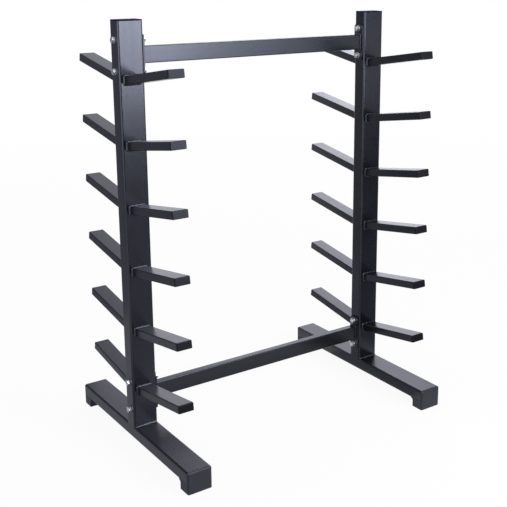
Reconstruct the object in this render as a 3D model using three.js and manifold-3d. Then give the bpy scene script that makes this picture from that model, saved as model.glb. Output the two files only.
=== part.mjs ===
// Barbell storage rack: two welded end frames, each a post on a base with six sloping arms
// in front and six behind, joined by two crossbars that are bolted between the posts.
// Millimetres, +Z up. The origin is on the floor, midway between the two frames.
// X runs along the crossbars, and the side with y below zero is the front.
import * as THREE from 'three';
import { mergeVertices } from 'three/addons/utils/BufferGeometryUtils.js';
import Module from 'manifold-3d';

const wasm = await Module();
wasm.setup();

// The rack as a whole
const rackWidth = 980;
const rackHeight = 1320;
const baseLength = 724;

// Posts: rectangular tube, with its wide face to the front and to the back
const postWidth = 80;
const postDepth = 50;
const postWall = 3;
const postCorner = 6;

// Caps pressed into the post tops
const postCapThickness = 3;
const postCapChamfer = 1;
const postCapPlugDepth = 18;
const postCapPlugWall = 2;

// Base tubes, as wide as the posts
const baseHeight = 40;
const baseWall = 3;
const baseCorner = 6;

// Moulded shoes that close the base tubes and carry the rack on the floor
const footDrop = 29;
const footLength = 45;
const footFlange = 7;
const footFillet = 8;
const footEdge = 6;
const footSole = 2;
const footPlugDepth = 26;
const footPlugWall = 3;
const footRib = 2.5;

// Arms: tube welded to the posts in evenly spaced tiers, counted from the top. The drop and
// the rise are to the arm's underside, where it meets the post.
const tierCount = 6;
const topTierDrop = 183;
const bottomTierRise = 108;
const armTilt = THREE.MathUtils.degToRad(9);
const armLength = 272;
const armWidth = 50;
const armHeight = 25;
const armWall = 2.5;
const armCorner = 3;

// Caps pressed into the arm ends
const armCapThickness = 4;
const armCapInset = 0.4;
const armCapChamfer = 1.2;
const armCapPlugDepth = 12;

// Crossbars, and the plates welded to their ends. The drop and the rise are to the middle.
const crossbarUpperDrop = 102;
const crossbarLowerRise = 99;
const crossbarHeight = 50;
const crossbarDepth = 25;
const crossbarWall = 2.5;
const crossbarCorner = 3;
const plateThickness = 5;
const plateWidth = 42;
const plateHeight = 120;
const plateCorner = 12;

// Fillet welds
const armWeld = 4;
const postWeld = 5;
const crossbarWeld = 3;

// Hexagon bolts, with a washer under each head and each nut
const boltSpacing = 90;
const boltDiameter = 10;
const boltLength = 100;
const boltHole = 11;
const boltPoint = 1.2;
const hexAcrossFlats = 17;
const headHeight = 6.4;
const nutHeight = 8.4;
const hexChamfer = THREE.MathUtils.degToRad(30);
const washerDiameter = 20;
const washerThickness = 2;

// Clearances where pieces touch, and the overrun of everything that cuts
const seatGap = 0.3;
const plugGap = 0.3;
const threadGap = 0.3;
const overrun = 5;

// Facets
const cornerSteps = 2;
const weldSteps = 3;
const filletSteps = 4;
const roundSteps = 18;
const hexSides = 6;

// Finishes
const paint = { color: 0x2b2e35, roughness: 0.45, metalness: 0.1 };
const moulding = { color: 0x16171a, roughness: 0.6, metalness: 0 };
const zinc = { color: 0xc9cdd2, roughness: 0.3, metalness: 1 };

// Heights, faces and lengths that follow from the sizes above
const baseTop = footDrop + baseHeight;
const postBottom = baseTop + seatGap;
const postLength = rackHeight - postCapThickness - seatGap - postBottom;
const topTierHeight = rackHeight - topTierDrop;
const bottomTierHeight = baseTop + bottomTierRise;
const tierPitch = (topTierHeight - bottomTierHeight) / (tierCount - 1);
const crossbarUpperHeight = rackHeight - crossbarUpperDrop;
const crossbarLowerHeight = baseTop + crossbarLowerRise;
const postOffset = (rackWidth - postWidth) / 2;
const postInner = postOffset - postWidth / 2;
const postFace = postDepth / 2;
const plateInner = postInner - seatGap - plateThickness;
const crossbarLength = 2 * (plateInner - seatGap);
const baseTubeLength = baseLength - 2 * (footFlange + seatGap);
const quarter = Math.PI / 2;

// The two frames, the two sides that carry arms, and the two crossbars
const frames = [
  { side: 'left', direction: -1 },
  { side: 'right', direction: 1 },
];
const faces = [
  { face: 'front', turn: Math.PI },
  { face: 'back', turn: 0 },
];
const crossbars = [
  { level: 'upper', height: crossbarUpperHeight },
  { level: 'lower', height: crossbarLowerHeight },
];
const boltRows = [
  { row: 'top', offset: boltSpacing / 2 },
  { row: 'bottom', offset: -boltSpacing / 2 },
];

// Turns for an outline and its extrusion. A side view is drawn in Y and Z and extruded along X.
// An end view is drawn in X and Z, as seen from the back, and extruded towards the back.
const axisX = new THREE.Vector3(1, 0, 0);
const axisY = new THREE.Vector3(0, 1, 0);
const axisZ = new THREE.Vector3(0, 0, 1);
const sideView = new THREE.Matrix4().makeBasis(axisY, axisZ, axisX);
const endView = new THREE.Matrix4().makeBasis(axisX.clone().negate(), axisZ, axisY);

// Points of an arc from one angle to another, both ends included
function arc(centreAcross, centreUp, radius, from, to, steps) {
  const points = [];
  for (let i = 0; i <= steps; i += 1) {
    const angle = from + ((to - from) * i) / steps;
    const across = centreAcross + radius * Math.cos(angle);
    const up = centreUp + radius * Math.sin(angle);
    points.push(new THREE.Vector2(across, up));
  }
  return points;
}

// A rectangle with rounded corners, centred on zero
function roundedOutline(width, height, radius, steps = cornerSteps) {
  const across = width / 2 - radius;
  const up = height / 2 - radius;
  return [
    ...arc(across, up, radius, 0, quarter, steps),
    ...arc(-across, up, radius, quarter, 2 * quarter, steps),
    ...arc(-across, -up, radius, 2 * quarter, 3 * quarter, steps),
    ...arc(across, -up, radius, 3 * quarter, 4 * quarter, steps),
  ];
}

// A bar with its outline in X and Y, from z = 0 upwards
function bar(outline, length, bore) {
  const shape = new THREE.Shape(outline);
  if (bore) {
    shape.holes.push(new THREE.Path(bore));
  }
  return new THREE.ExtrudeGeometry(shape, { depth: length, steps: 1, bevelEnabled: false });
}

// Rectangular tube with rounded corners, from z = 0 upwards
function tube(width, height, corner, wall, length) {
  const boreCorner = Math.max(corner - wall, corner / 4);
  const bore = roundedOutline(width - 2 * wall, height - 2 * wall, boreCorner);
  return bar(roundedOutline(width, height, corner), length, bore);
}

// A closed skin through two rings of the same number of points, with a flat end on each
function loft(lowerRing, lowerZ, upperRing, upperZ) {
  const count = lowerRing.length;
  const positions = [];
  for (const point of lowerRing) {
    positions.push(point.x, point.y, lowerZ);
  }
  for (const point of upperRing) {
    positions.push(point.x, point.y, upperZ);
  }
  const indices = [];
  for (let i = 0; i < count; i += 1) {
    const next = (i + 1) % count;
    indices.push(i, next, count + next, i, count + next, count + i);
  }
  for (let i = 1; i < count - 1; i += 1) {
    indices.push(0, i + 1, i);
    indices.push(count, count + i, count + i + 1);
  }
  const geometry = new THREE.BufferGeometry();
  geometry.setAttribute('position', new THREE.Float32BufferAttribute(positions, 3));
  geometry.setIndex(indices);
  return geometry;
}

// Fillet weld round the end of a tube that stands on a plate at z = 0. It is one leg wide on the
// plate and runs out on the tube's faces, and its inner end lies in the middle of the wall.
// A tube that leans over moves the far ring by the slope times its height.
function weldRing(width, height, corner, wall, leg, slope) {
  const reach = leg + wall / 2;
  const wide = roundedOutline(width + 2 * leg, height + 2 * leg, corner + leg, weldSteps);
  const narrow = roundedOutline(width - wall, height - wall, corner / 4, weldSteps);
  const leaning = narrow.map((point) => new THREE.Vector2(point.x, point.y + slope * reach));
  return loft(wide, 0, leaning, reach);
}

// A three.js geometry as a solid that can be joined and cut
function solid(geometry) {
  const plain = geometry.clone();
  plain.deleteAttribute('normal');
  plain.deleteAttribute('uv');
  const merged = mergeVertices(plain);
  return new wasm.Manifold(new wasm.Mesh({
    numProp: 3,
    vertProperties: new Float32Array(merged.attributes.position.array),
    triVerts: new Uint32Array(merged.index.array),
  }));
}

// The solid back as a geometry
function geometryOf(manifold) {
  const mesh = manifold.getMesh();
  const geometry = new THREE.BufferGeometry();
  geometry.setAttribute('position', new THREE.BufferAttribute(mesh.vertProperties, 3));
  geometry.setIndex(new THREE.BufferAttribute(mesh.triVerts, 1));
  geometry.computeVertexNormals();
  return geometry;
}

const rack = new THREE.Group();
rack.name = 'barbell_rack';

// Adds a named piece to the rack
function place(name, geometry, finish, x, y, z) {
  const mesh = new THREE.Mesh(geometry, new THREE.MeshStandardMaterial(finish));
  mesh.name = name;
  mesh.position.set(x, y, z);
  rack.add(mesh);
  return mesh;
}

// What a bolt hole takes out of a piece of a certain thickness along X, centred on zero
function drillAlongX(thickness) {
  const radius = boltHole / 2;
  return new THREE.CylinderGeometry(radius, radius, thickness + 2 * overrun, roundSteps).rotateZ(quarter);
}

// What a base tube takes out of a piece that it passes, from one place along Y to another, with
// the seat gap all round
function baseSeat(from, to, middle) {
  const width = postWidth + 2 * seatGap;
  const height = baseHeight + 2 * seatGap;
  const seat = bar(roundedOutline(width, height, baseCorner + seatGap), to - from);
  return seat.applyMatrix4(endView).translate(0, from, middle);
}

// Post: tube with two bolt holes at each crossbar, drilled through both narrow faces, and
// the weld along its foot in front and behind. Its narrow walls reach down over the base's
// rounded edges, where the weld is dressed flush. Drawn from z = 0, its height over the base's top.
function postGeometry() {
  const skirt = baseCorner + seatGap;
  const walls = tube(postWidth, postDepth, postCorner, postWall, postLength + skirt);
  let post = solid(walls.translate(0, 0, -skirt));
  const beadSide = [
    new THREE.Vector2(postFace - postWall / 2, -skirt),
    new THREE.Vector2(postFace + postWeld, -skirt),
    new THREE.Vector2(postFace + postWeld, 0),
    new THREE.Vector2(postFace, postWeld),
    new THREE.Vector2(postFace - postWall / 2, postWeld),
  ];
  const beadLength = postWidth - postCorner;
  const bead = bar(beadSide, beadLength).applyMatrix4(sideView).translate(-beadLength / 2, 0, 0);
  for (const { turn } of faces) {
    post = post.add(solid(bead.clone().rotateZ(turn)));
  }
  const seatLength = postDepth + 2 * (postWeld + overrun);
  const seatMiddle = -seatGap - baseHeight / 2;
  post = post.subtract(solid(baseSeat(-seatLength / 2, seatLength / 2, seatMiddle)));
  const drill = drillAlongX(postWidth);
  for (const crossbar of crossbars) {
    for (const bolt of boltRows) {
      const bit = drill.clone().translate(0, 0, crossbar.height + bolt.offset - postBottom);
      post = post.subtract(solid(bit));
    }
  }
  return geometryOf(post);
}

// Post cap: a flange over the tube end with a chamfered top edge, on a hollow plug.
// Drawn with z = 0 at the underside of the flange.
function postCapGeometry() {
  const rim = postCapThickness - postCapChamfer;
  const outline = roundedOutline(postWidth, postDepth, postCorner);
  const bevelled = roundedOutline(
    postWidth - 2 * postCapChamfer,
    postDepth - 2 * postCapChamfer,
    postCorner - postCapChamfer,
  );
  const plugWidth = postWidth - 2 * (postWall + plugGap);
  const plugDepth = postDepth - 2 * (postWall + plugGap);
  const plug = tube(plugWidth, plugDepth, postCorner / 2, postCapPlugWall, postCapPlugDepth + rim / 2);
  plug.translate(0, 0, -postCapPlugDepth);
  const flange = solid(bar(outline, rim)).add(solid(loft(outline, rim, bevelled, postCapThickness)));
  return geometryOf(flange.add(solid(plug)));
}

// Base tube between the flanges of its two shoes, centred on y = 0 and on its own height
function baseGeometry() {
  const base = tube(postWidth, baseHeight, baseCorner, baseWall, baseTubeLength);
  return base.applyMatrix4(endView).translate(0, -baseTubeLength / 2, 0);
}

// Shoe of a base, drawn for the back end, with y = 0 at its end face and z = 0 on the floor.
// Its side view, end view and plan are extruded and intersected, its pad is hollowed into a
// saddle for the tube, and its ribbed plug is added.
function footGeometry() {
  const padTop = footDrop - seatGap;
  const saddleTop = footDrop + baseCorner;
  const side = [
    new THREE.Vector2(-footFlange, saddleTop),
    new THREE.Vector2(-footLength - footFillet, saddleTop),
    ...arc(-footLength - footFillet, padTop - footFillet, footFillet, quarter, 0, filletSteps),
    ...arc(footSole - footLength, footSole, footSole, 2 * quarter, 3 * quarter, cornerSteps),
    ...arc(-footSole, footSole, footSole, 3 * quarter, 4 * quarter, cornerSteps),
    ...arc(-footEdge, baseTop - footEdge, footEdge, 0, quarter, cornerSteps),
    new THREE.Vector2(-footFlange, baseTop),
  ];
  const half = postWidth / 2;
  const end = [
    new THREE.Vector2(-half, -overrun),
    new THREE.Vector2(half, -overrun),
    ...arc(half - baseCorner, baseTop - baseCorner, baseCorner, 0, quarter, cornerSteps),
    ...arc(baseCorner - half, baseTop - baseCorner, baseCorner, quarter, 2 * quarter, cornerSteps),
  ];
  const inner = -footLength - footFillet - overrun;
  const plan = [
    new THREE.Vector2(-half, inner),
    new THREE.Vector2(half, inner),
    ...arc(half - footEdge, -footEdge, footEdge, 0, quarter, cornerSteps),
    ...arc(footEdge - half, -footEdge, footEdge, quarter, 2 * quarter, cornerSteps),
  ];
  const sideBar = bar(side, postWidth + 2 * overrun);
  sideBar.applyMatrix4(sideView).translate(-half - overrun, 0, 0);
  const endBar = bar(end, overrun - inner).applyMatrix4(endView).translate(0, inner, 0);
  const planBar = bar(plan, baseTop + 2 * overrun).translate(0, 0, -overrun);

  const plugWidth = postWidth - 2 * (baseWall + plugGap);
  const plugHeight = baseHeight - 2 * (baseWall + plugGap);
  const plugReach = footPlugDepth + footFlange / 2;
  const plugEnd = -footFlange - footPlugDepth;
  const plugMiddle = footDrop + baseHeight / 2;
  const plug = tube(plugWidth, plugHeight, baseCorner / 2, footPlugWall, plugReach);
  plug.applyMatrix4(endView).translate(0, plugEnd, plugMiddle);
  const rib = new THREE.BoxGeometry(footRib, plugReach, plugHeight - footPlugWall);
  rib.translate(0, plugEnd + plugReach / 2, plugMiddle);

  const block = solid(sideBar).intersect(solid(endBar)).intersect(solid(planBar));
  const shoe = block.subtract(solid(baseSeat(inner, -footFlange, plugMiddle)));
  return geometryOf(shoe.add(solid(plug)).add(solid(rib)));
}

// Head of an arm cap, a little smaller than the tube, with a chamfered outer edge, from z = 0
function armCapHead() {
  const rim = armCapThickness - armCapChamfer;
  const inset = armCapInset + armCapChamfer;
  const outline = roundedOutline(
    armWidth - 2 * armCapInset,
    armHeight - 2 * armCapInset,
    armCorner - armCapInset,
  );
  const bevelled = roundedOutline(armWidth - 2 * inset, armHeight - 2 * inset, armCorner - inset);
  return solid(bar(outline, rim)).add(solid(loft(outline, rim, bevelled, armCapThickness)));
}

// Arm with its end cap and its root weld, drawn for the back of a post: y = 0 at the post's
// face, and z = 0 where the arm's underside meets that face. The tube rises at its tilt, is
// cut upright at the root to lie against the post, and is square at its end.
function armGeometry() {
  const rootHeight = armHeight / Math.cos(armTilt);
  const runIn = armHeight * Math.tan(armTilt) + overrun;
  const tubeEnd = armLength - armCapThickness;
  const body = tube(armWidth, armHeight, armCorner, armWall, runIn + tubeEnd).translate(0, 0, -runIn);
  const cap = armCapHead().translate([0, 0, tubeEnd]);
  const plugOutline = roundedOutline(armWidth - armWall, armHeight - armWall, armCorner / 2);
  const plug = bar(plugOutline, armCapPlugDepth + armCapThickness / 2);
  plug.translate(0, 0, tubeEnd - armCapPlugDepth);
  const capped = geometryOf(solid(body).add(cap).add(solid(plug)));

  const collar = weldRing(armWidth, rootHeight, armCorner, armWall, armWeld, Math.tan(armTilt));
  collar.applyMatrix4(endView).translate(0, 0, rootHeight / 2);
  const core = bar(plugOutline, 2 * runIn).translate(0, 0, -runIn);
  for (const piece of [capped, core]) {
    piece.translate(0, armHeight / 2, 0).applyMatrix4(endView).rotateX(armTilt);
  }
  const post = new THREE.BoxGeometry(armWidth + 2 * runIn, 2 * runIn, rootHeight + 2 * runIn);
  post.translate(0, seatGap - runIn, rootHeight / 2);
  const weld = solid(collar).subtract(solid(core));
  return geometryOf(solid(capped).add(weld).subtract(solid(post)));
}

// Crossbar: tube along X with a weld collar at each end, centred on zero
function crossbarGeometry() {
  const outline = roundedOutline(crossbarDepth, crossbarHeight, crossbarCorner);
  const boreOutline = roundedOutline(
    crossbarDepth - 2 * crossbarWall,
    crossbarHeight - 2 * crossbarWall,
    Math.max(crossbarCorner - crossbarWall, crossbarCorner / 4),
  );
  const bore = bar(boreOutline, crossbarLength + 2 * overrun).translate(0, 0, -overrun);
  const nearWeld = weldRing(crossbarDepth, crossbarHeight, crossbarCorner, crossbarWall, crossbarWeld, 0);
  const farWeld = nearWeld.clone().rotateX(Math.PI).translate(0, 0, crossbarLength);
  const body = solid(bar(outline, crossbarLength)).add(solid(nearWeld)).add(solid(farWeld));
  const drawn = geometryOf(body.subtract(solid(bore)));
  return drawn.applyMatrix4(sideView).translate(-crossbarLength / 2, 0, 0);
}

// Plate between a crossbar and a post, with its two bolt holes, centred on zero
function plateGeometry() {
  const plate = bar(roundedOutline(plateWidth, plateHeight, plateCorner), plateThickness);
  plate.applyMatrix4(sideView).translate(-plateThickness / 2, 0, 0);
  const drill = drillAlongX(plateThickness);
  let drilled = solid(plate);
  for (const bolt of boltRows) {
    drilled = drilled.subtract(solid(drill.clone().translate(0, 0, bolt.offset)));
  }
  return geometryOf(drilled);
}

// Hexagonal block along Y from y = 0, with the corners of its far end turned off to a cone
function hexBlock(height) {
  const flatRadius = hexAcrossFlats / 2;
  const cornerRadius = flatRadius / Math.cos(Math.PI / hexSides);
  const block = new THREE.CylinderGeometry(cornerRadius, cornerRadius, height, hexSides);
  block.translate(0, height / 2, 0);
  const drop = (washerDiameter / 2 - flatRadius) * Math.tan(hexChamfer);
  const turned = new THREE.LatheGeometry([
    new THREE.Vector2(0, -overrun),
    new THREE.Vector2(washerDiameter / 2, -overrun),
    new THREE.Vector2(washerDiameter / 2, height - drop),
    new THREE.Vector2(flatRadius, height),
    new THREE.Vector2(0, height),
  ], roundSteps);
  return solid(block).intersect(solid(turned));
}

// Bolt with the washer under its head, along Y, with y = 0 where the washer meets the post.
// The shank runs to positive y, and the bolt's length is measured from under the head.
function boltGeometry() {
  const radius = boltDiameter / 2;
  const shankEnd = boltLength - washerThickness;
  const turned = new THREE.LatheGeometry([
    new THREE.Vector2(0, -washerThickness),
    new THREE.Vector2(washerDiameter / 2, -washerThickness),
    new THREE.Vector2(washerDiameter / 2, 0),
    new THREE.Vector2(radius, 0),
    new THREE.Vector2(radius, shankEnd - boltPoint),
    new THREE.Vector2(radius - boltPoint, shankEnd),
    new THREE.Vector2(0, shankEnd),
  ], roundSteps);
  const inWasher = washerThickness / 2;
  const head = geometryOf(hexBlock(headHeight + inWasher)).rotateX(Math.PI).translate(0, -inWasher, 0);
  return geometryOf(solid(turned).add(solid(head)));
}

// Nut with its washer, along Y, with y = 0 where the washer meets the plate
function nutGeometry() {
  const washer = new THREE.CylinderGeometry(
    washerDiameter / 2,
    washerDiameter / 2,
    washerThickness,
    roundSteps,
  );
  washer.translate(0, washerThickness / 2, 0);
  const inWasher = washerThickness / 2;
  const hex = geometryOf(hexBlock(nutHeight + inWasher)).translate(0, inWasher, 0);
  const bore = boltDiameter / 2 + threadGap;
  const tap = new THREE.CylinderGeometry(bore, bore, 2 * (washerThickness + nutHeight + overrun), roundSteps);
  return geometryOf(solid(washer).add(solid(hex)).subtract(solid(tap)));
}

const post = postGeometry();
const postCap = postCapGeometry();
const base = baseGeometry();
const foot = footGeometry();
const arm = armGeometry();
const crossbarTube = crossbarGeometry();
const plate = plateGeometry();
const bolt = boltGeometry();
const nut = nutGeometry();

// The two end frames
for (const { side, direction } of frames) {
  const x = direction * postOffset;
  place(`post_${side}`, post, paint, x, 0, postBottom);
  place(`post_cap_${side}`, postCap, moulding, x, 0, rackHeight - postCapThickness);
  place(`base_${side}`, base, paint, x, 0, footDrop + baseHeight / 2);
  for (const { face, turn } of faces) {
    const outwards = Math.cos(turn);
    const shoe = place(`foot_${side}_${face}`, foot, moulding, x, (outwards * baseLength) / 2, 0);
    shoe.rotation.z = turn;
    for (let tier = 0; tier < tierCount; tier += 1) {
      const z = topTierHeight - tier * tierPitch;
      const peg = place(`arm_${side}_${face}_${tier + 1}`, arm, paint, x, outwards * postFace, z);
      peg.rotation.z = turn;
    }
  }
}

// The two crossbars, bolted between the frames through their end plates
for (const { level, height } of crossbars) {
  place(`crossbar_${level}`, crossbarTube, paint, 0, 0, height);
  for (const { side, direction } of frames) {
    const plateX = direction * (plateInner + plateThickness / 2);
    place(`end_plate_${level}_${side}`, plate, paint, plateX, 0, height);
    for (const { row, offset } of boltRows) {
      const boltX = direction * (rackWidth / 2 + seatGap);
      const nutX = direction * (plateInner - seatGap);
      const screw = place(`bolt_${level}_${side}_${row}`, bolt, zinc, boltX, 0, height + offset);
      const holder = place(`nut_${level}_${side}_${row}`, nut, zinc, nutX, 0, height + offset);
      screw.rotation.z = direction * quarter;
      holder.rotation.z = direction * quarter;
    }
  }
}

export default rack;
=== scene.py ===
# Looks of the barbell storage rack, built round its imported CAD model. Metres, +Z up.
# X runs along the crossbars, and the side with y below zero is the front.
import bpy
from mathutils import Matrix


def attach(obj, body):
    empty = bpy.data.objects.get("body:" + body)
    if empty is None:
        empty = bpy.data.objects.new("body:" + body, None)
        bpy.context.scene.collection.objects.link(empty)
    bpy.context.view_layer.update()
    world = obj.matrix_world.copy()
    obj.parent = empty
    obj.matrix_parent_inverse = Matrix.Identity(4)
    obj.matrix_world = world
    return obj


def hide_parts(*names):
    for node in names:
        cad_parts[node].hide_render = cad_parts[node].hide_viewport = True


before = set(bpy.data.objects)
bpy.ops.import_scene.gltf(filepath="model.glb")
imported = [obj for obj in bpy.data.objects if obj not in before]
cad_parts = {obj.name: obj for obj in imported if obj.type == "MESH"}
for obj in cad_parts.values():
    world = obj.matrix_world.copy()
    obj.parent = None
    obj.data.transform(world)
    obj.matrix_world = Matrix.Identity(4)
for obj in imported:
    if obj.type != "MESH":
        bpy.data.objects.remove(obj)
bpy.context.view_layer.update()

import math
import random

import bmesh
import bpy
from mathutils import Matrix, Vector


# Camera. It stands off the left front corner of the rack, a little above the upper crossbar, and
# looks down on it. The photograph's vanishing point lies high in its frame, which takes a shift.
photo_side, film_width = 507, 36
view_centre = Vector((300.1, 190.0))
focal_pixels = 935.21
camera_place = Vector((-1.62936, -2.48150, 1.46840))
camera_azimuth, camera_elevation, camera_roll = (math.radians(a) for a in (-35.83, 13.48, 0.08))

lens = bpy.data.cameras.new("photo_camera")
lens.sensor_width = film_width
lens.lens = focal_pixels / photo_side * film_width
lens.shift_x = (photo_side / 2 - view_centre.x) / photo_side
lens.shift_y = (view_centre.y - photo_side / 2) / photo_side
camera = bpy.data.objects.new("photo_camera", lens)
bpy.context.scene.collection.objects.link(camera)
backwards = Vector((
    math.sin(camera_azimuth) * math.cos(camera_elevation),
    -math.cos(camera_azimuth) * math.cos(camera_elevation),
    math.sin(camera_elevation),
))
camera.location = camera_place
camera.rotation_mode = "QUATERNION"
camera.rotation_quaternion = (
    (-backwards).to_track_quat("-Z", "Y") @ Matrix.Rotation(camera_roll, 3, "Z").to_quaternion()
)
bpy.context.scene.camera = camera
bpy.context.scene.view_settings.view_transform = "Standard"


# Floor and background. A pale studio floor that keeps the rack's shadow, glows where it is seen
# and runs into a white background. The camera, gloss and glass see both of them white.
class Wire:
    """One socket of a node tree. Sums written on it add the nodes that work them out."""

    def __init__(self, tree, socket=None):
        self.tree = tree
        self.socket = socket

    def node(self, kind, settings=None, inputs=None, output=0):
        """Adds a node, sets it up, fills its inputs and gives back one of its outputs."""
        made = self.tree.nodes.new("ShaderNode" + kind)
        for key, value in (settings or {}).items():
            if key == "stops":
                while len(made.color_ramp.elements) < len(value):
                    made.color_ramp.elements.new(1)
                for stop, (place, shade) in zip(made.color_ramp.elements, value):
                    stop.position = place
                    stop.color = (shade, shade, shade, 1)
            else:
                setattr(made, key, value)
        for key, value in (inputs or {}).items():
            self.plug(made.inputs[key], value)
        return Wire(self.tree, made.outputs[output])

    def plug(self, socket, value):
        """Links a wire to a socket, or sets the socket's own value."""
        if isinstance(value, Wire):
            self.tree.links.new(value.socket, socket)
        else:
            socket.default_value = value

    def work(self, operation, *values):
        return self.node("Math", {"operation": operation}, dict(enumerate(values)))

    def __add__(self, other):
        return self.work("ADD", self, other)

    def __sub__(self, other):
        return self.work("SUBTRACT", self, other)

    def __rsub__(self, other):
        return self.work("SUBTRACT", other, self)

    def __mul__(self, other):
        return self.work("MULTIPLY", self, other)

    __radd__ = __add__
    __rmul__ = __mul__

    def mix(self, first, second):
        """Goes from the first colour to the second as this wire goes from 0 to 1."""
        return self.node("Mix", {"data_type": "RGBA"}, {0: self, 6: first, 7: second}, 2)

    def ramp(self, *stops):
        return self.node("ValToRGB", {"stops": stops}, {"Fac": self})


def seen_rays(wire):
    """1 on camera, mirror and glass rays, and 0 on the rays that carry light about."""
    path = {name: wire.node("LightPath", output=name) for name in
            ("Is Camera Ray", "Is Glossy Ray", "Is Transmission Ray")}
    seen = path["Is Camera Ray"]
    for name in ("Is Glossy Ray", "Is Transmission Ray"):
        seen = seen.work("MAXIMUM", seen, path[name])
    return seen


room_light = (0.66, 0.66, 0.66, 1)
white_background = (1.0, 1.0, 1.1, 1)
world = bpy.data.worlds.new("studio")
bpy.context.scene.world = world
world.use_nodes = True
wire = Wire(world.node_tree)
shade = seen_rays(wire).mix(room_light, white_background)
wire.plug(world.node_tree.nodes["Background"].inputs["Color"], shade)

floor_size = 30
floor_tone, floor_white = (0.9, 0.9, 0.9, 1), (1, 1, 1, 1)
floor_glow = 0.93
fade_from, fade_over = 2.2, 4.0
bpy.ops.object.select_all(action="DESELECT")
bpy.ops.mesh.primitive_plane_add(size=floor_size)
floor = bpy.context.active_object
floor.name = "studio_floor"
floor_paint = bpy.data.materials.new("pale_floor")
floor_paint.use_nodes = True
tree = floor_paint.node_tree
tree.nodes.clear()
wire = Wire(tree)
distance = wire.node(
    "VectorMath", {"operation": "LENGTH"}, {0: wire.node("TexCoord", output="Object")}, "Value")
far = wire.node("Math", {"operation": "MULTIPLY", "use_clamp": True}, {
    0: distance - fade_from, 1: 1 / fade_over})
glow = seen_rays(wire) * (floor_glow + far * (1 - floor_glow))
floor_shader = wire.node("MixShader", inputs={
    0: glow,
    1: wire.node("BsdfDiffuse", inputs={"Color": floor_tone}),
    2: wire.node("Emission", inputs={"Color": floor_white}),
})
wire.plug(tree.nodes.new("ShaderNodeOutputMaterial").inputs["Surface"], floor_shader)
floor.data.materials.append(floor_paint)


# Lamps and cards. Two soft boxes at the right front, the second weaker, give the left frame its
# bright top, and one high at the right back brightens the tops of the arms. Cards that only
# gloss sees stand, lie and hang round the rack, and give the paint its darks and lights.
def soft_box(name, place, aim, width, height, brightness, colour):
    """A rectangular lamp of a certain brightness, turned towards a point."""
    lamp = bpy.data.lights.new(name, "AREA")
    lamp.shape = "RECTANGLE"
    lamp.size, lamp.size_y = width, height
    lamp.energy = brightness * math.pi * width * height
    lamp.color = colour
    holder = bpy.data.objects.new(name, lamp)
    holder.location = place
    holder.rotation_euler = (Vector(aim) - Vector(place)).to_track_quat("-Z", "Y").to_euler()
    bpy.context.scene.collection.objects.link(holder)


def card(name, corners, colour):
    """A board that is seen in gloss alone."""
    mesh = bpy.data.meshes.new(name)
    mesh.from_pydata(corners, [], [tuple(range(len(corners)))])
    board = bpy.data.objects.new(name, mesh)
    bpy.context.scene.collection.objects.link(board)
    paint = bpy.data.materials.new(name)
    paint.use_nodes = True
    paint.node_tree.nodes.clear()
    wire = Wire(paint.node_tree)
    glow = wire.node("Emission", inputs={"Color": (*colour, 1)})
    wire.plug(paint.node_tree.nodes.new("ShaderNodeOutputMaterial").inputs["Surface"], glow)
    mesh.materials.append(paint)
    board.visible_camera = board.visible_diffuse = board.visible_shadow = False
    board.visible_transmission = board.visible_volume_scatter = False


def upright(start, end, low, high):
    """The corners of a board that stands over a line of the floor plan."""
    return (*start, low), (*end, low), (*end, high), (*start, high)


def level(height, *plan):
    """The corners of a board that lies or hangs level, from the corners of its plan."""
    return [(*corner, height) for corner in plan]


soft_box("key_box", (0.96, -3.1, 1.53), aim=(0.4, 0, 1.2), width=1.0, height=1.7,
         brightness=12.0, colour=(0.96, 0.995, 1.05))
soft_box("side_box", (1.80, -3.0, 1.5), aim=(0.4, 0, 1.2), width=0.75, height=1.6,
         brightness=3.2, colour=(0.95, 0.98, 1.07))
soft_box("back_box", (2.5, 2.87, 2.5), aim=(0.4, 0, 0.6), width=1.9, height=1.5,
         brightness=2.3, colour=(0.97, 0.98, 1.06))

# Grey boards behind the left side, at the right front and on the floor.
on_floor = 0.004
card("left_card", upright((-3.2, 1.0), (-0.2, 1.0), low=0.0, high=1.7), (0.28, 0.28, 0.34))
card("right_card", ((0.72, -0.6, 0.0), (3.2, -2.2, 0.0), (3.2, -2.2, 0.95), (0.72, -0.6, 0.8)),
     (0.14, 0.14, 0.18))
card("front_card", level(on_floor, (-0.3, -0.5), (-0.3, -3.4), (0.9, -3.4), (0.45, -0.5)),
     (0.62, 0.63, 0.70))
card("near_card", level(on_floor, (0.62, -0.1), (0.62, -0.5), (0.45, -0.5), (0.95, -4.4),
                        (4.5, -4.4), (4.5, -0.1)), (0.3, 0.3, 0.35))
card("back_card", level(on_floor, (-1.3, -0.45), (-0.49, -0.45), (-0.49, 0.24), (0.3, 0.24),
                        (0.3, 1.0), (-1.3, 1.0)), (0.5, 0.5, 0.57))
card("under_card", level(on_floor, (-0.38, -0.27), (0.38, -0.27), (0.38, 0.2), (-0.38, 0.2)),
     (0.4, 0.4, 0.46))

# White boards at the left front and on the left, which edge the paint, and a dark one in front.
card("white_card", upright((-4.2, -0.3), (-1.9, -3.2), low=0.35, high=2.6), (2.6, 2.65, 2.9))
card("bright_card", upright((-4.18, -0.28), (-1.88, -3.18), low=0.78, high=1.3), (5.2, 5.3, 5.7))
card("side_card", upright((-4.2, -0.3), (-4.2, 2.4), low=0.35, high=2.6), (2.0, 2.05, 2.25))
card("edge_card", upright((-1.9, -3.2), (0.36, -3.2), low=0.1, high=2.6), (0.05, 0.05, 0.06))

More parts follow.
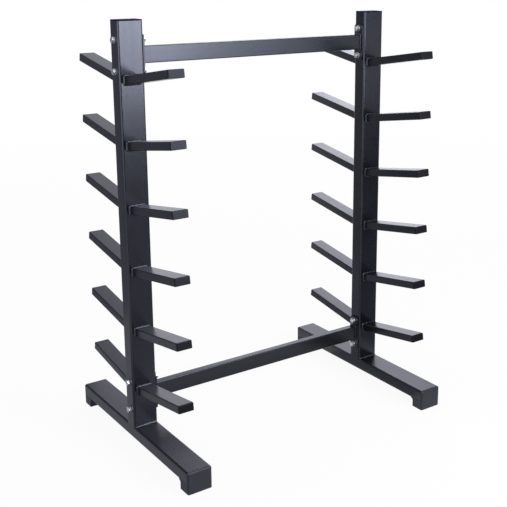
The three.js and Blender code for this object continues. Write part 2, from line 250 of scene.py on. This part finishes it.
# Boards far behind, whose reflections lie along the tops of the arms, bars and bases.
card("far_card", upright((1.7, 3.0), (5.2, 3.0), low=0.3, high=1.2), (2.0, 2.0, 2.18))
card("low_card", upright((0.2, 3.0), (1.7, 3.0), low=0.3, high=0.8), (1.5, 1.5, 1.64))
card("sky_card", upright((-0.6, 3.0), (5.2, 3.0), low=1.92, high=2.65), (0.80, 0.80, 0.88))

# A bright and a dark board overhead, for the welds, and a grey one high at the right front.
card("over_card", level(2.7, (-0.7, -2.6), (1.3, -2.6), (1.3, -0.5), (-0.7, -0.5)), (5.4, 5.5, 6.0))
card("roof_card", level(2.6, (1.5, -3.1), (4.6, -3.1), (4.6, 1.0), (1.5, 1.0)), (0.08, 0.08, 0.10))
card("high_card", upright((2.25, -3.1), (4.6, -3.1), low=0.95, high=2.3), (0.58, 0.59, 0.65))


# Bases. Rectangular steel tube 80 by 40 mm, as wide as the posts, one under each end frame. All
# the steel has the same coat: dark charcoal powder paint, glossy, with a faint orange peel.
def begin(name, add, place=(0, 0, 0), stretch=(1, 1, 1), **settings):
    """Adds a primitive with nothing else selected, at its place, and stretches it to its size."""
    bpy.ops.object.select_all(action="DESELECT")
    add(location=place, **settings)
    piece = bpy.context.active_object
    piece.name = piece.data.name = name
    piece.scale = stretch
    bpy.ops.object.transform_apply(location=True, rotation=True, scale=True)
    return piece


def select(piece):
    """Selects one piece and nothing else."""
    bpy.ops.object.select_all(action="DESELECT")
    piece.select_set(True)
    bpy.context.view_layer.objects.active = piece


def edit(piece):
    """Goes into edit mode on one piece."""
    bpy.context.view_layer.objects.active = piece
    bpy.ops.object.mode_set(mode="EDIT")


def done():
    bpy.ops.object.mode_set(mode="OBJECT")


def choose(kind, wanted):
    """Selects the faces, edges or corners that are wanted, and nothing else."""
    bpy.ops.mesh.select_mode(type=kind)
    bpy.ops.mesh.select_all(action="DESELECT")
    mesh = bmesh.from_edit_mesh(bpy.context.edit_object.data)
    for part in {"VERT": mesh.verts, "EDGE": mesh.edges, "FACE": mesh.faces}[kind]:
        if wanted(part):
            part.select_set(True)
    mesh.select_flush_mode()
    bmesh.update_edit_mesh(bpy.context.edit_object.data)


def runs_along(edge, axis, nearly=0.999):
    run = edge.verts[1].co - edge.verts[0].co
    return abs(run[axis]) > nearly * run.length


def faces_along(face, axis, nearly=0.99):
    return abs(face.normal[axis]) > nearly


def round_off(reach, segments):
    """Rounds the chosen edges."""
    bpy.ops.mesh.bevel(offset=reach, segments=segments, profile=0.5, affect="EDGES")


def modify(piece, kind, **settings):
    """Adds a modifier, sets it and applies it."""
    select(piece)
    modifier = piece.modifiers.new(kind.lower(), kind)
    for key, value in settings.items():
        setattr(modifier, key, value)
    bpy.ops.object.modifier_apply(modifier=modifier.name)


def soften(piece, crease=35):
    """Smooth shading over edges that bend less than the crease, in degrees. Flat faces stay flat."""
    select(piece)
    bpy.ops.object.shade_smooth_by_angle(angle=math.radians(crease))
    modify(piece, "WEIGHTED_NORMAL", keep_sharp=True)


def dress(piece, material):
    piece.data.materials.clear()
    piece.data.materials.append(material)


def fit(piece, slot, *nodes):
    """Makes a piece part of the rack, in the place of the CAD nodes that are named."""
    if nodes:
        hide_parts(*nodes)
    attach(piece, "root")


def tube(name, place, size, axis, corner, wall):
    """Rectangular tube along one axis, with rounded corners and open ends."""
    piece = begin(name, bpy.ops.mesh.primitive_cube_add, place, size, size=1)
    edit(piece)
    choose("EDGE", lambda edge: runs_along(edge, axis))
    round_off(corner, segments=6)
    choose("FACE", lambda face: faces_along(face, axis))
    bpy.ops.mesh.delete(type="ONLY_FACE")
    done()
    modify(piece, "SOLIDIFY", thickness=wall, offset=-1, use_even_offset=True)
    return piece


def material_start(name):
    """A new material, its shader, and a wire that carries places on the piece."""
    material = bpy.data.materials.new(name)
    material.use_nodes = True
    place = Wire(material.node_tree).node("TexCoord", output="Object")
    return material, material.node_tree.nodes["Principled BSDF"], place


def noise(place, scale, detail):
    return place.node("TexNoise", inputs={"Vector": place, "Scale": scale, "Detail": detail}, output="Fac")


def painted_steel(name, deep, pale, roughness, along):
    """Glossy charcoal powder coat: slow drift in tone and gloss, orange peel and a fine grit.

    The tube's drawing marks show through it as faint streaks, which run where along is small.
    """
    material, shader, place = material_start(name)
    drift = noise(place, scale=6, detail=3)
    mottle = noise(place, scale=70, detail=3)
    peel = noise(place, scale=330, detail=1)
    grit = noise(place, scale=1500, detail=2)
    lengthwise = place.node("VectorMath", {"operation": "MULTIPLY"}, {0: place, 1: along}, "Vector")
    streak = noise(lengthwise, scale=75, detail=3)
    tone = drift * 0.6 + mottle * 0.4
    colour = tone.ramp((0.35, 0), (0.65, 1)).mix((*deep, 1), (*pale, 1))
    place.plug(shader.inputs["Base Color"], colour)
    place.plug(shader.inputs["Roughness"], roughness + drift * 0.07 + mottle * 0.04 + streak * 0.07)
    height = peel * 0.7 + grit * 0.3 + streak * 18
    place.plug(shader.inputs["Normal"], place.node("Bump", inputs={
        "Strength": 0.09, "Distance": 0.0001, "Height": height}))
    shader.inputs["Specular Tint"].default_value = (0.80, 0.83, 1.0, 1)
    return material


deep_coat, pale_coat = (0.0026, 0.0028, 0.0042), (0.0046, 0.0049, 0.0070)
coat = painted_steel("painted_steel", deep_coat, pale_coat, roughness=0.21, along=(1, 0.03, 1))
base_width, base_height, base_corner, base_wall = 0.080, 0.040, 0.006, 0.003
base_underside = 0.029
base_length = 0.7094
frame_middle = {"left": -0.450, "right": 0.450}
for side, x in frame_middle.items():
    base = tube(f"base_tube_{side}", (x, 0, base_underside + base_height / 2),
                (base_width, base_length, base_height), 1, base_corner, base_wall)
    soften(base)
    dress(base, coat)
    fit(base, "painted_steel", f"base_{side}")


# Foot shoes. Each is one moulding in the paint's own grey: a thick pad that holds the base tube
# in a saddle, a full-height end wall with rounded edges, and a hollow plug in the tube. Drawn
# for the back end of a base, with y = 0 at the shoe's outer face.
def moulded(name, colour, roughness, shine, pale=1.25):
    """Moulded plastic: an even tone, the fine grain of the tool, and a little drift in gloss."""
    material, shader, place = material_start(name)
    flow = noise(place, scale=24, detail=2)
    grain = place.node("TexVoronoi", inputs={"Vector": place, "Scale": 1300}, output="Distance")
    pits = noise(place, scale=800, detail=2)
    light = tuple(channel * pale for channel in colour)
    place.plug(shader.inputs["Base Color"], (flow * 0.7 + pits * 0.3).mix((*colour, 1), (*light, 1)))
    place.plug(shader.inputs["Roughness"], roughness + flow * 0.08 - grain * 0.04)
    place.plug(shader.inputs["Normal"], place.node("Bump", inputs={
        "Strength": 0.5, "Distance": 0.0001, "Height": grain * 0.5 + pits * 0.5}))
    shader.inputs["Specular Tint"].default_value = (0.84, 0.87, 1.0, 1)
    shader.inputs["Specular IOR Level"].default_value = shine
    return material


foot_plastic = moulded("foot_plastic", (0.014, 0.015, 0.020), roughness=0.42, shine=0.32)
foot_reach, base_top = 0.362, 0.069
seat_gap = 0.0003
pad_length, wall_thickness = 0.045, 0.007
pad_fillet, edge_round, sole_round = 0.008, 0.006, 0.002
sole_rim, sole_hollow = 0.004, 0.0015
plug_depth, plug_wall = 0.026, 0.003
hair = 1e-5


def middle(edge):
    return (edge.verts[0].co + edge.verts[1].co) / 2


def looks(face, axis, way, nearly=0.99):
    """Says whether a face looks up an axis, where way is 1, or down it, where way is -1."""
    return way * face.normal[axis] > nearly


def rounded(piece, wanted, reach):
    """Rounds the edges of a block that are wanted."""
    edit(piece)
    choose("EDGE", wanted)
    round_off(reach, segments=8)
    done()


def block(name, low, high):
    """A plain block between two corners, to be cut and rounded."""
    place = [(a + b) / 2 for a, b in zip(low, high)]
    return begin(name, bpy.ops.mesh.primitive_cube_add, place, [b - a for a, b in zip(low, high)], size=1)


def cut_with(piece, operation, cutter):
    """Joins, cuts or trims a piece with another, which is used up."""
    modify(piece, "BOOLEAN", object=cutter, operation=operation, solver="MANIFOLD")
    bpy.data.objects.remove(cutter)


def base_seat(from_y, to_y):
    """The space that a base tube takes in a piece that it passes, with the gap all round."""
    half = base_width / 2 + seat_gap
    seat = block("seat", (-half, from_y, base_underside - seat_gap), (half, to_y, base_top + seat_gap))
    rounded(seat, lambda edge: runs_along(edge, 1), base_corner + seat_gap)
    return seat


def settle(piece, place=(0, 0, 0), turn=(0, 0, 0)):
    """Moves and turns the piece that is selected, and writes that into its mesh."""
    piece.location = place
    piece.rotation_euler = turn
    bpy.ops.object.transform_apply(location=True, rotation=True, scale=True)


def copied(piece, name, move=(0, 0, 0), turn=0):
    """A copy with its own mesh, turned about the upright axis and then moved."""
    select(piece)
    bpy.ops.object.duplicate(linked=False)
    twin = bpy.context.active_object
    twin.name = twin.data.name = name
    settle(twin, move, (0, 0, turn))
    return twin


def shoe_edge(edge):
    """The edges round the top and the outer face, apart from those at the floor."""
    outer = middle(edge).y > -hair
    upper = middle(edge).z > base_top - hair
    return (runs_along(edge, 2) and outer) or (runs_along(edge, 1) and upper) or (
        runs_along(edge, 0) and upper and outer)


def sole(face):
    return looks(face, 2, -1) and face.calc_center_median().z < hair


half_width = base_width / 2
saddle_top = base_underside + base_corner
far_end = -pad_length - pad_fillet
shoe = block("shoe_pattern", (-half_width, far_end, 0), (half_width, 0, base_top))
rounded(shoe, shoe_edge, edge_round)
above = block("above", (-base_width, 2 * far_end, saddle_top), (base_width, -wall_thickness, 2 * base_top))
cut_with(shoe, "DIFFERENCE", above)
under = block("under", (-base_width, 2 * far_end, -base_top),
              (base_width, -pad_length, base_underside - seat_gap))
rounded(under, lambda edge: runs_along(edge, 0) and middle(edge).z > 0
        and middle(edge).y > -pad_length - hair, pad_fillet)
cut_with(shoe, "DIFFERENCE", under)
edit(shoe)
choose("FACE", sole)
bpy.ops.mesh.region_to_loop()
round_off(sole_round, segments=4)
choose("FACE", sole)
bpy.ops.mesh.inset(thickness=sole_rim)
bpy.ops.mesh.extrude_region_move(TRANSFORM_OT_translate={"value": (0, 0, sole_hollow)})
done()
cut_with(shoe, "DIFFERENCE", base_seat(2 * far_end, -wall_thickness))
plug_end = -wall_thickness - plug_depth
plug_reach = base_width / 2 - base_wall - seat_gap
plug_rise = base_height / 2 - base_wall - seat_gap
plug_middle = (base_underside + base_top) / 2
plug = tube("plug", (0, (plug_end - wall_thickness / 2) / 2, plug_middle),
            (2 * plug_reach, plug_depth + wall_thickness / 2, 2 * plug_rise), 1, base_corner / 2, plug_wall)
cut_with(shoe, "UNION", plug)
soften(shoe)
dress(shoe, foot_plastic)
half_turn = {"front": math.pi, "back": 0}
for side, x in frame_middle.items():
    for face, turn in half_turn.items():
        y = math.cos(turn) * foot_reach
        fit(copied(shoe, f"shoe_{side}_{face}", (x, y, 0), turn), "foot_plastic", f"foot_{side}_{face}")
bpy.data.objects.remove(shoe)


# Posts. Rectangular steel tube 80 by 50 mm that stands on the base with its wide face to the
# front, drilled through both narrow faces for the crossbars' bolts. Its narrow walls reach down
# over the base's rounded edges.
post_width, post_depth, post_corner, post_wall = 0.080, 0.050, 0.006, 0.003
post_bottom, post_top = 0.0693, 1.3167
hole_radius = 0.0055
bolt_heights = {
    ("upper", "top"): 1.263, ("upper", "bottom"): 1.173,
    ("lower", "top"): 0.213, ("lower", "bottom"): 0.123,
}


def drill(piece, x, length, heights):
    """Drills holes along X through a piece, one at each height."""
    for z in heights:
        bit = begin("drill", bpy.ops.mesh.primitive_cylinder_add, (x, 0, z), vertices=32,
                    radius=hole_radius, depth=length, rotation=(0, math.pi / 2, 0))
        cut_with(piece, "DIFFERENCE", bit)


post_foot = post_bottom - base_corner - seat_gap
post_coat = painted_steel("painted_post", deep_coat, pale_coat, roughness=0.16, along=(1, 1, 0.03))
for side, x in frame_middle.items():
    post = tube(f"post_tube_{side}", (x, 0, (post_foot + post_top) / 2),
                (post_width, post_depth, post_top - post_foot), 2, post_corner, post_wall)
    seat = base_seat(-post_width, post_width)
    seat.location.x = x
    cut_with(post, "DIFFERENCE", seat)
    drill(post, x, 2 * post_width, bolt_heights.values())
    soften(post)
    dress(post, post_coat)
    fit(post, "painted_steel", f"post_{side}")


# Welds. A run of weld is a string of overlapping ripples that fills the corner between two
# pieces. One lies along the foot of each post, in front and behind. The post and arm welds have a
# paler coat than the rest, a painted highlight that stands in for the glint on their ripples.
def bead_profile():
    """The cross-section of a weld with legs one metre long, which each path scales."""
    back, bulge, steps = 0.25, 0.35, 6
    start = math.atan2(bulge, 1 + bulge)
    reach = math.hypot(bulge, 1 + bulge)
    arc = [start + (math.pi / 2 - 2 * start) * step / steps for step in range(steps + 1)]
    outline = [(reach * math.cos(a) - bulge, reach * math.sin(a) - bulge) for a in arc]
    outline += [(-back, 1), (-back, -back), (1, -back)]
    piece = begin("bead_profile", bpy.ops.mesh.primitive_circle_add, radius=1, vertices=len(outline))
    for corner, (across, up) in zip(piece.data.vertices, outline):
        corner.co = (across, up, 0)
    bpy.ops.object.convert(target="CURVE")
    return bpy.context.active_object


profile = bead_profile()
# Paler than the steel's coat: a painted highlight for the glint on the weld ripples.
weld_coat_painted_highlight = painted_steel("weld_paint_painted_highlight", (0.007, 0.0075, 0.010), (0.018, 0.019, 0.025),
                          roughness=0.17, along=(1, 1, 1))
ripple = (1.00, 0.985, 0.955)
ripple_step, ripple_scatter = 0.0007, 0.008
long_waver, long_wave = 0.04, 9
short_waver, short_wave = 0.03, 5
bead_end, bead_growth = 0.45, 0.2
bead_crease = 50


def bead(path, leg, seed, closed):
    """Turns a path of short edges into a weld bead, with ripples and slightly uneven legs."""
    chance = random.Random(seed)
    bpy.ops.object.convert(target="CURVE")
    curve = path.data
    curve.dimensions = "3D"
    curve.twist_mode = "Z_UP"
    curve.bevel_mode = "OBJECT"
    curve.bevel_object = profile
    curve.use_fill_caps = True
    points = curve.splines[0].points
    wander = chance.uniform(0, math.tau)
    for i, point in enumerate(points):
        slow = (1 + long_waver * math.sin(wander + i / long_wave)
                + short_waver * math.sin(2 * wander + i / short_wave))
        to_end = min(i, len(points) - 1 - i)
        taper = 1 if closed else min(1, bead_end + bead_growth * to_end)
        uneven = ripple[i % len(ripple)] + chance.uniform(-ripple_scatter, ripple_scatter)
        point.radius = leg * taper * slow * uneven
    bpy.ops.object.convert(target="MESH")
    return bpy.context.active_object


# The path is the far edge of a plane, which loses the rest of it.
post_bead_leg = 0.005
bead_length = post_width - post_corner
spare = 1.0
line = begin("post_bead", bpy.ops.mesh.primitive_plane_add, (0, -spare / 2, 0),
             (bead_length, spare, 1), size=1)
edit(line)
choose("VERT", lambda corner: corner.co.y < -spare / 2)
bpy.ops.mesh.delete(type="VERT")
bpy.ops.mesh.select_all(action="SELECT")
bpy.ops.mesh.subdivide(number_cuts=round(bead_length / ripple_step))
done()
post_bead = bead(line, post_bead_leg, seed=11, closed=False)
soften(post_bead, bead_crease)
dress(post_bead, weld_coat_painted_highlight)
for side, x in frame_middle.items():
    for face, turn in half_turn.items():
        y = math.cos(turn) * post_depth / 2
        fit(copied(post_bead, f"weld_post_{side}_{face}", (x, y, post_bottom), turn), "painted_steel")
bpy.data.objects.remove(post_bead)


# Arms. Rectangular steel tube 50 by 25 mm that rises 9 degrees from the post, cut upright at
# its root and welded all round. Drawn for an arm behind a post.
arm_width, arm_height, arm_corner, arm_wall = 0.050, 0.025, 0.003, 0.0025
arm_length, arm_cap = 0.272, 0.004
arm_tilt = math.radians(9)
arm_root = 0.0253
arm_run_in = 0.010
arm_weld_leg = 0.004
tube_end = arm_length - arm_cap


def tilted(piece):
    """Tilts a piece drawn along Y from the arm's root, and stands it on the face of the post."""
    select(piece)
    settle(piece, (0, post_depth / 2, 0), (arm_tilt, 0, 0))


arm = tube("arm_pattern", (0, (tube_end - arm_run_in) / 2, arm_height / 2),
           (arm_width, tube_end + arm_run_in, arm_height), 1, arm_corner, arm_wall)
tilted(arm)
edit(arm)
bpy.ops.mesh.select_all(action="SELECT")
bpy.ops.mesh.bisect(plane_co=(0, arm_root, 0), plane_no=(0, 1, 0), clear_inner=True)
choose("EDGE", lambda edge: edge.is_boundary)
bpy.ops.mesh.bridge_edge_loops()
done()
soften(arm)
dress(arm, coat)


def ring_bead(name, width, height, corner, leg, seed):
    """A weld round a tube that stands up on the XY plane."""
    ring = begin(name, bpy.ops.mesh.primitive_plane_add, (0, 0, 0), (width, height, 1), size=1)
    straight = 4 * ripple_step
    edit(ring)
    bpy.ops.mesh.select_all(action="SELECT")
    bpy.ops.mesh.bevel(offset=corner, segments=6, affect="VERTICES")
    bpy.ops.mesh.delete(type="ONLY_FACE")
    for axis, run in ((0, width), (1, height)):
        choose("EDGE", lambda edge: runs_along(edge, axis) and edge.calc_length() > straight)
        bpy.ops.mesh.subdivide(number_cuts=round((run - 2 * corner) / ripple_step) - 1)
    done()
    return bead(ring, leg, seed, closed=True)


# The ring is as high as the upright cut, and climbs with the tube as it leaves the post.
root_height = arm_height / math.cos(arm_tilt)
arm_bead = ring_bead("arm_bead", arm_width, root_height, arm_corner, arm_weld_leg, seed=23)
arm_bead.data.transform(Matrix(((1, 0, 0, 0), (0, 1, -math.tan(arm_tilt), 0), (0, 0, 1, 0), (0, 0, 0, 1))))
settle(arm_bead, (0, arm_root, root_height / 2), (-math.pi / 2, 0, 0))
soften(arm_bead, bead_crease)
dress(arm_bead, weld_coat_painted_highlight)


# Arm caps. Black moulded inserts that close the arm ends: a head that stands just inside the
# tube's outline, with rounded edges, and a plug with a hollow back that grips the bore.
def insert(name, place, size, axis, corner, brim, rim, depth, wall):
    """A head that looks up an axis, rounded by the brim, on a plug that stands in by the rim."""
    piece = begin(name, bpy.ops.mesh.primitive_cube_add, place, size, size=1)
    edit(piece)
    choose("EDGE", lambda edge: runs_along(edge, axis))
    round_off(corner, segments=6)
    choose("FACE", lambda face: looks(face, axis, 1))
    bpy.ops.mesh.region_to_loop()
    round_off(brim, segments=4)
    choose("FACE", lambda face: looks(face, axis, -1))
    for inwards, push in ((rim, -depth), (wall, depth - wall)):
        bpy.ops.mesh.inset(thickness=inwards)
        move = Vector()
        move[axis] = push
        bpy.ops.mesh.extrude_region_move(TRANSFORM_OT_translate={"value": move})
    done()
    return piece


cap_plastic = moulded("cap_plastic", (0.0022, 0.0022, 0.0034), roughness=0.33, shine=0.17)
cap_inset, cap_brim = 0.0004, 0.0016
cap_plug_gap = 0.0002
cap_rim = arm_wall + cap_plug_gap - cap_inset
cap = insert("cap_pattern", (0, tube_end + arm_cap / 2, arm_height / 2),
             (arm_width - 2 * cap_inset, arm_cap, arm_height - 2 * cap_inset), 1,
             arm_corner - cap_inset, cap_brim, cap_rim, depth=0.012, wall=0.002)
tilted(cap)
soften(cap)
dress(cap, cap_plastic)

tier_count, top_tier, tier_pitch = 6, 1.137, 0.192
for side, x in frame_middle.items():
    for face, turn in half_turn.items():
        for tier in range(tier_count):
            spot = (x, 0, top_tier - tier * tier_pitch)
            tag = f"{side}_{face}_{tier + 1}"
            fit(copied(arm, f"arm_tube_{tag}", spot, turn), "painted_steel", f"arm_{tag}")
            fit(copied(arm_bead, f"arm_weld_{tag}", spot, turn), "painted_steel")
            fit(copied(cap, f"arm_cap_{tag}", spot, turn), "cap_plastic")
for pattern in (arm, arm_bead, cap):
    bpy.data.objects.remove(pattern)


# Post caps. Black moulded inserts over the open tops of the posts: a thin flange as wide as the
# tube, with a rounded upper edge, on a hollow plug.
lid_plastic = moulded("lid_plastic", (0.0022, 0.0022, 0.0034), roughness=0.62, shine=0.05)
rack_top = 1.320
lid_flange, lid_brim = 0.003, 0.001
lid = insert("lid_pattern", (0, 0, rack_top - lid_flange / 2), (post_width, post_depth, lid_flange), 2,
             post_corner, lid_brim, post_wall + seat_gap, depth=0.018, wall=0.002)
soften(lid)
dress(lid, lid_plastic)
for side, x in frame_middle.items():
    fit(copied(lid, f"post_lid_{side}", (x, 0, 0)), "cap_plastic", f"post_cap_{side}")
bpy.data.objects.remove(lid)


# Crossbars. Rectangular steel tube 50 by 25 mm on edge, one high and one low between the frames,
# with a weld round each end.
bar_height, bar_depth, bar_corner, bar_wall = 0.050, 0.025, 0.003, 0.0025
bar_end = 0.4044
bar_weld_leg = 0.003
bar_middle = {"upper": 1.218, "lower": 0.168}
bar_coat = painted_steel("painted_bar", deep_coat, pale_coat, roughness=0.16, along=(0.03, 1, 1))
bar_bead = ring_bead("bar_bead", bar_height, bar_depth, bar_corner, bar_weld_leg, seed=37)
settle(bar_bead, turn=(0, math.pi / 2, 0))
soften(bar_bead, bead_crease)
dress(bar_bead, bar_coat)
for row, z in bar_middle.items():
    bar = tube(f"bar_tube_{row}", (0, 0, z), (2 * bar_end, bar_depth, bar_height), 0, bar_corner, bar_wall)
    soften(bar)
    dress(bar, bar_coat)
    fit(bar, "painted_steel", f"crossbar_{row}")
    for side, turn in (("left", 0), ("right", math.pi)):
        x = -math.cos(turn) * bar_end
        fit(copied(bar_bead, f"bar_weld_{row}_{side}", (x, 0, z), turn), "painted_steel")
bpy.data.objects.remove(bar_bead)


# End plates. Flat steel 5 mm thick with rounded corners and two holes, welded across each end of
# a crossbar and bolted to the inner face of the post.
plate_inner, plate_outer = 0.4047, 0.4097
plate_width, plate_height, plate_corner = 0.042, 0.120, 0.012
plate_ease, plate_crease = 0.0006, math.radians(60)
bolt_reach = 0.045
plate = begin("plate_pattern", bpy.ops.mesh.primitive_cube_add, (0, 0, 0),
              (plate_outer - plate_inner, plate_width, plate_height), size=1)
rounded(plate, lambda edge: runs_along(edge, 0), plate_corner)
drill(plate, 0, 2 * plate_width, (bolt_reach, -bolt_reach))
modify(plate, "BEVEL", width=plate_ease, segments=2, limit_method="ANGLE", angle_limit=plate_crease)
soften(plate)
dress(plate, coat)
for row, z in bar_middle.items():
    for side, sign in (("left", -1), ("right", 1)):
        x = sign * (plate_inner + plate_outer) / 2
        fit(copied(plate, f"plate_{row}_{side}", (x, 0, z)), "painted_steel", f"end_plate_{row}_{side}")
bpy.data.objects.remove(plate)


# Bolts. Zinc-plated hexagon bolts M10 by 100 mm through the post and the end plate, each with a
# plain washer under its head. Drawn along X for the left post, with x = 0 where the washer meets
# the post.
def plated_zinc(deep, pale):
    """Bright zinc plating: cool, softly clouded, with fine tumbling marks."""
    material, shader, place = material_start("zinc_steel")
    cloud = noise(place, scale=180, detail=3)
    drawn = place.node("Mapping", inputs={"Vector": place, "Scale": (3000, 500, 900)})
    marks = noise(drawn, scale=1, detail=2)
    place.plug(shader.inputs["Base Color"], cloud.mix((*deep, 1), (*pale, 1)))
    place.plug(shader.inputs["Roughness"], 0.20 + cloud * 0.14 + marks * 0.06)
    place.plug(shader.inputs["Normal"], place.node("Bump", inputs={
        "Strength": 0.3, "Distance": 0.00004, "Height": marks}))
    shader.inputs["Metallic"].default_value = 1
    return material


zinc = plated_zinc((0.50, 0.54, 0.58), (0.64, 0.66, 0.66))
bolt_radius, bolt_length, bolt_point = 0.005, 0.100, 0.0012
across_flats, head_height = 0.017, 0.0064
washer_radius, washer_thickness = 0.010, 0.002
hex_corner = across_flats / 2 / math.cos(math.pi / 6)
hex_chamfer = math.radians(30)
head_ease, bored_ease, zinc_crease = 0.0003, 0.00025, math.radians(45)
drill_length = 0.1
thread_pitch, thread_depth, thread_turns = 0.0015, 0.0009, 18
post_face = 0.4903
bolt_spots = [(f"{row}_{side}_{place}", sign, turn, z) for (row, place), z in bolt_heights.items()
              for side, sign, turn in (("left", -1, 0), ("right", 1, math.pi))]


def hexagon(name, low, high, cone_down):
    """Upright hexagonal block, with the corners of its top, or of both its ends, turned off."""
    height = high - low
    piece = begin(name, bpy.ops.mesh.primitive_cylinder_add, (0, 0, (low + high) / 2),
                  vertices=6, radius=hex_corner, depth=3 * height)
    spread = across_flats / 2 + 2 * height / math.tan(hex_chamfer)
    lathe = begin("lathe", bpy.ops.mesh.primitive_cone_add, (0, 0, high - height), vertices=64,
                  radius1=spread, radius2=across_flats / 2, depth=2 * height)
    cut_with(piece, "INTERSECT", lathe)
    if cone_down:
        lathe = begin("lathe", bpy.ops.mesh.primitive_cone_add, (0, 0, low + height), vertices=64,
                      radius1=across_flats / 2, radius2=spread, depth=2 * height)
    else:
        lathe = begin("lathe", bpy.ops.mesh.primitive_cylinder_add, (0, 0, low + height),
                      vertices=64, radius=2 * washer_radius, depth=2 * height)
    cut_with(piece, "INTERSECT", lathe)
    return piece


def eased(piece, width):
    """Eases all the sharp edges of a small piece."""
    modify(piece, "BEVEL", width=width, segments=2, limit_method="ANGLE", angle_limit=zinc_crease)


def pierced(piece, radius):
    """Drills an upright hole through the middle of a small piece and eases all its edges."""
    bit = begin("drill", bpy.ops.mesh.primitive_cylinder_add, vertices=48, radius=radius, depth=drill_length)
    cut_with(piece, "DIFFERENCE", bit)
    eased(piece, bored_ease)


def laid_along_x(piece):
    """Turns a piece that was drawn upright, with its outer end up, towards the left."""
    select(piece)
    settle(piece, turn=(0, -math.pi / 2, 0))
    soften(piece)
    dress(piece, zinc)


under_head = washer_thickness
bolt = hexagon("bolt_pattern", under_head, under_head + head_height, cone_down=False)
eased(bolt, head_ease)
plain_end = under_head - bolt_length + bolt_point + thread_turns * thread_pitch
shank_start = under_head + head_height / 2
shank = begin("shank", bpy.ops.mesh.primitive_cylinder_add, (0, 0, (shank_start + plain_end) / 2),
              vertices=32, radius=bolt_radius, depth=shank_start - plain_end)
edit(shank)
choose("FACE", lambda face: looks(face, 2, -1))
narrow = 1 - thread_depth / bolt_radius
for turn_number in range(thread_turns):
    for squeeze in (narrow, 1 / narrow):
        bpy.ops.mesh.extrude_region_move(TRANSFORM_OT_translate={"value": (0, 0, -thread_pitch / 2)})
        bpy.ops.transform.resize(value=(squeeze, squeeze, 1))
bpy.ops.mesh.extrude_region_move(TRANSFORM_OT_translate={"value": (0, 0, -bolt_point)})
point = 1 - bolt_point / bolt_radius
bpy.ops.transform.resize(value=(point, point, 1))
done()
cut_with(bolt, "UNION", shank)
laid_along_x(bolt)
washer = begin("washer_pattern", bpy.ops.mesh.primitive_cylinder_add, (0, 0, washer_thickness / 2),
               vertices=64, radius=washer_radius, depth=washer_thickness)
pierced(washer, hole_radius)
laid_along_x(washer)
for tag, sign, turn, z in bolt_spots:
    spot = (sign * post_face, 0, z)
    fit(copied(bolt, f"bolt_screw_{tag}", spot, turn), "zinc_steel", f"bolt_{tag}")
    fit(copied(washer, f"bolt_washer_{tag}", spot, turn), "zinc_steel")
bpy.data.objects.remove(bolt)


# Nuts. Zinc-plated hexagon nuts on the inner side of each end plate, with a washer below each.
# Drawn as the bolts are, with x = 0 where the washer meets the plate.
nut_seat = 0.4044
nut_height, nut_bore = 0.0084, 0.0052
nut = hexagon("nut_pattern", -washer_thickness - nut_height, -washer_thickness, cone_down=True)
pierced(nut, nut_bore)
laid_along_x(nut)
for tag, sign, turn, z in bolt_spots:
    fit(copied(nut, f"nut_hex_{tag}", (sign * nut_seat, 0, z), turn), "zinc_steel", f"nut_{tag}")
    under_nut = (sign * (nut_seat - washer_thickness), 0, z)
    fit(copied(washer, f"nut_washer_{tag}", under_nut, turn), "zinc_steel")
for pattern in (nut, washer, profile):
    bpy.data.objects.remove(pattern)
